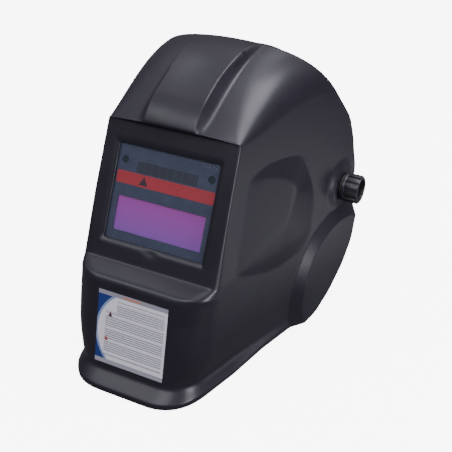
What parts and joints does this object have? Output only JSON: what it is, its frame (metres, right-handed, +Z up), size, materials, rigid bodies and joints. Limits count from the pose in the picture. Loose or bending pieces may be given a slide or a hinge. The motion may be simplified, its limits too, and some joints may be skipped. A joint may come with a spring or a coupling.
{
  "type": "welding helmet",
  "caption": "Full-face welding helmet: smooth shell with a flat raked window and auto-darkening filter, flip-up side pivots, and a ratchet-adjusted headgear inside.",
  "frame": {"origin": "under the middle of the helmet's box, on the surface that the rim stands on", "axes": "+Z up, the helmet faces -Y, +X is the wearer's left"},
  "size_m": [0.2548, 0.3698, 0.2748],
  "materials": {
    "shell_black": "satin gloss",
    "black_plastic": "fine matt",
    "knob_black": "satin",
    "headgear_plastic": "satin",
    "filter_panel": "satin blue grey",
    "label_card": "printed card under film",
    "red_strip": "printed",
    "solar_dark": "dark glass",
    "purple_glass": "coated",
    "shutter_glass": "clear green",
    "clear_lens": "polished",
    "board_green": "solder mask",
    "steel": "zinc plated",
    "brass": "turned",
    "fibre": "fibre",
    "pinion_white": "acetal",
    "sweat_foam": "brushed cloth over foam"
  },
  "bodies": {
    "headgear": {"front_band": "headgear_plastic", "sweatband": "sweat_foam", "crown_strap_left": "headgear_plastic", "crown_strap_right": "headgear_plastic", "rear_band_left": "headgear_plastic", "rear_band_right": "headgear_plastic", "ratchet_housing": "headgear_plastic", "ratchet_cover": "headgear_plastic", "nape_pad": "sweat_foam"},
    "pivot_carriage": {"slider_plate_left": "steel", "slider_plate_right": "steel", "pivot_bolt_left": "steel", "pivot_bolt_right": "steel", "spacer_bush_left": "black_plastic", "spacer_bush_right": "black_plastic", "friction_washer_left": "fibre", "friction_washer_right": "fibre"},
    "shell_assembly": {"shell": "shell_black", "chin_label": "label_card", "front_lens": "clear_lens", "filter_frame": "black_plastic", "filter_case_front": "filter_panel", "filter_case_back": "black_plastic", "solar_cell": "solar_dark", "warning_strip": "red_strip", "uv_ir_glass": "purple_glass", "lc_plates": "shutter_glass", "circuit_board": "board_green", "battery_cells": "steel", "arc_sensors": "solar_dark", "inner_lens": "clear_lens", "retainer_pin": "steel", "pivot_bush_left": "black_plastic", "pivot_bush_right": "black_plastic"},
    "retainer": {"retainer_frame": "black_plastic"},
    "shade_control": {"shade_knob": "knob_black"},
    "sensitivity_control": {"sensitivity_knob": "knob_black"},
    "delay_control": {"delay_knob": "knob_black"},
    "left_tension_knob": {"tension_knob_left": "knob_black", "knob_insert_left": "brass"},
    "right_tension_knob": {"tension_knob_right": "knob_black", "knob_insert_right": "brass"},
    "ratchet": {"ratchet_knob": "knob_black", "ratchet_pinion": "pinion_white"},
    "left_tail": {"rack_left": "headgear_plastic"},
    "right_tail": {"rack_right": "headgear_plastic"}
  },
  "joints": [
    {"name": "reach_slide", "type": "slide", "parent": "headgear", "child": "pivot_carriage", "axis": [0, 0.9848, -0.1736], "range_m": [-0.0075, 0.0075]},
    {"name": "shell_flip", "type": "hinge", "parent": "pivot_carriage", "child": "shell_assembly", "pos_m": [0, 0.066, 0.1255], "axis": [-1, 0, 0], "range_deg": [0, 78]},
    {"name": "left_knob_turn", "type": "hinge", "parent": "pivot_carriage", "child": "left_tension_knob", "pos_m": [0.12, 0.066, 0.1255], "axis": [1, 0, 0], "range_deg": [-180, 180]},
    {"name": "right_knob_turn", "type": "hinge", "parent": "pivot_carriage", "child": "right_tension_knob", "pos_m": [-0.12, 0.066, 0.1255], "axis": [-1, 0, 0], "range_deg": [-180, 180]},
    {"name": "ratchet_turn", "type": "hinge", "parent": "headgear", "child": "ratchet", "pos_m": [0, 0.16048, 0.12001], "axis": [0, -0.9848, 0.1736], "range_deg": [0, 130]},
    {"name": "left_tail_slide", "type": "slide", "parent": "headgear", "child": "left_tail", "axis": [1, 0, 0], "range_m": [0, 0.014]},
    {"name": "right_tail_slide", "type": "slide", "parent": "headgear", "child": "right_tail", "axis": [-1, 0, 0], "range_m": [0, 0.014]},
    {"name": "retainer_swing", "type": "hinge", "parent": "shell_assembly", "child": "retainer", "pos_m": [0, -0.07, 0.19949], "axis": [1, 0, 0], "range_deg": [0, 35]},
    {"name": "shade_turn", "type": "hinge", "parent": "shell_assembly", "child": "shade_control", "pos_m": [0, -0.07954, 0.17801], "axis": [0, 0.9121, -0.4099], "range_deg": [-135, 135]},
    {"name": "sensitivity_turn", "type": "hinge", "parent": "shell_assembly", "child": "sensitivity_control", "pos_m": [-0.034, -0.07954, 0.17801], "axis": [0, 0.9121, -0.4099], "range_deg": [-135, 135]},
    {"name": "delay_turn", "type": "hinge", "parent": "shell_assembly", "child": "delay_control", "pos_m": [0.034, -0.07954, 0.17801], "axis": [0, 0.9121, -0.4099], "range_deg": [-135, 135]}
  ],
  "couplings": [
    {"joint": "left_tail_slide", "follows": "ratchet_turn", "m_per_rad": 0.006},
    {"joint": "right_tail_slide", "follows": "ratchet_turn", "m_per_rad": 0.006}
  ]
}
